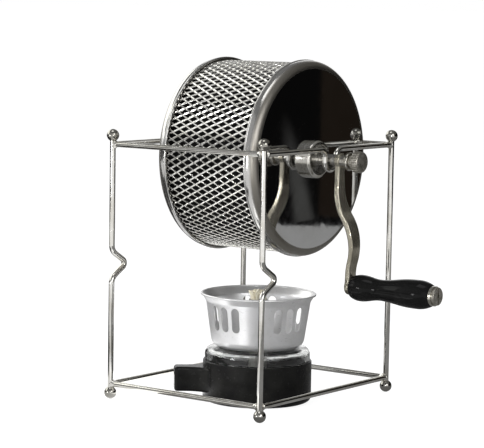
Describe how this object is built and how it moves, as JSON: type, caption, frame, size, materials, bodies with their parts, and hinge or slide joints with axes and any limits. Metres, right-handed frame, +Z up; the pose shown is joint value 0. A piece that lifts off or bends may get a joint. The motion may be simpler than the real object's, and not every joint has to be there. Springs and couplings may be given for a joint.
{
  "type": "hand-crank coffee roaster",
  "caption": "Tabletop coffee roaster: a wire stand carries a mesh drum, turned by a crank with a black grip, over a spirit burner with an aluminium windshield.",
  "frame": {"origin": "on the table, under the middle of the roaster's bounding box", "axes": "+Z up; -Y along the drum's axis towards the crank and the lid; +X to the right as seen from the crank"},
  "size_m": [0.186, 0.2618, 0.2758],
  "materials": {
    "stand_wire": "polished",
    "bearing_steel": "turned, satin",
    "mesh_steel": "bright expanded metal",
    "blackened_sheet": "heat-blackened, matt",
    "polished_cap": "mirror polished",
    "polished_hub": "polished",
    "crank_steel": "polished",
    "grip_black": "glossy",
    "cup_black": "satin gloss",
    "clear_glass": "clear, pressed",
    "burner_metal": "satin",
    "shield_aluminium": "satin, spun",
    "wick_cotton": "braided cotton"
  },
  "bodies": {
    "stand": {"post_front_left": "stand_wire", "post_rear_left": "stand_wire", "post_front_right": "stand_wire", "post_rear_right": "stand_wire", "base_rail_front": "stand_wire", "base_rail_rear": "stand_wire", "base_rail_left": "stand_wire", "base_rail_right": "stand_wire", "top_rail_left": "stand_wire", "top_rail_right": "stand_wire", "notched_rail_front": "stand_wire", "notched_rail_rear": "stand_wire", "foot_balls": "stand_wire", "finial_balls": "stand_wire"},
    "bushes": {"front_bush": "bearing_steel", "rear_bush": "bearing_steel"},
    "drum": {"shaft": "bearing_steel", "stop_collar": "bearing_steel", "set_screws": "bearing_steel", "drum_mesh": "mesh_steel", "drum_liner": "blackened_sheet", "stirring_vanes": "blackened_sheet", "rear_cap": "polished_cap", "rear_hub": "polished_hub", "rear_lock_ring": "polished_hub", "crank_arm": "crank_steel", "crank_boss": "crank_steel", "thumb_nut": "crank_steel", "grip_ferrule": "crank_steel", "grip_bolt": "crank_steel"},
    "lid": {"front_lid": "polished_cap", "lid_hub": "polished_hub", "lid_lock_ring": "polished_hub"},
    "grip": {"grip": "grip_black"},
    "burner": {"burner_cup": "cup_black", "glass_font": "clear_glass", "neck_cap": "burner_metal", "wick_tube": "burner_metal"},
    "windshield": {"windshield": "shield_aluminium"},
    "wick": {"wick": "wick_cotton"}
  },
  "joints": [
    {"name": "drum_lift", "type": "slide", "parent": "stand", "child": "bushes", "axis": [0, 0, 1], "range_m": [0, 0.06]},
    {"name": "drum_spin", "type": "hinge", "parent": "bushes", "child": "drum", "pos_m": [0, 0.0469, 0.1972], "axis": [0, 1, 0], "continuous": true},
    {"name": "lid_slide", "type": "slide", "parent": "drum", "child": "lid", "axis": [0, -1, 0], "range_m": [0, 0.006]},
    {"name": "grip_spin", "type": "hinge", "parent": "drum", "child": "grip", "pos_m": [0, -0.0892, 0.0986], "axis": [0, 1, 0], "continuous": true},
    {"name": "burner_slide", "type": "slide", "parent": "stand", "child": "burner", "axis": [1, 0, 0], "range_m": [-0.022, 0.05]},
    {"name": "windshield_lift", "type": "slide", "parent": "burner", "child": "windshield", "axis": [0, 0, 1], "range_m": [0, 0.024]},
    {"name": "wick_raise", "type": "slide", "parent": "burner", "child": "wick", "axis": [0, 0, 1], "range_m": [-0.003, 0.004]}
  ]
}
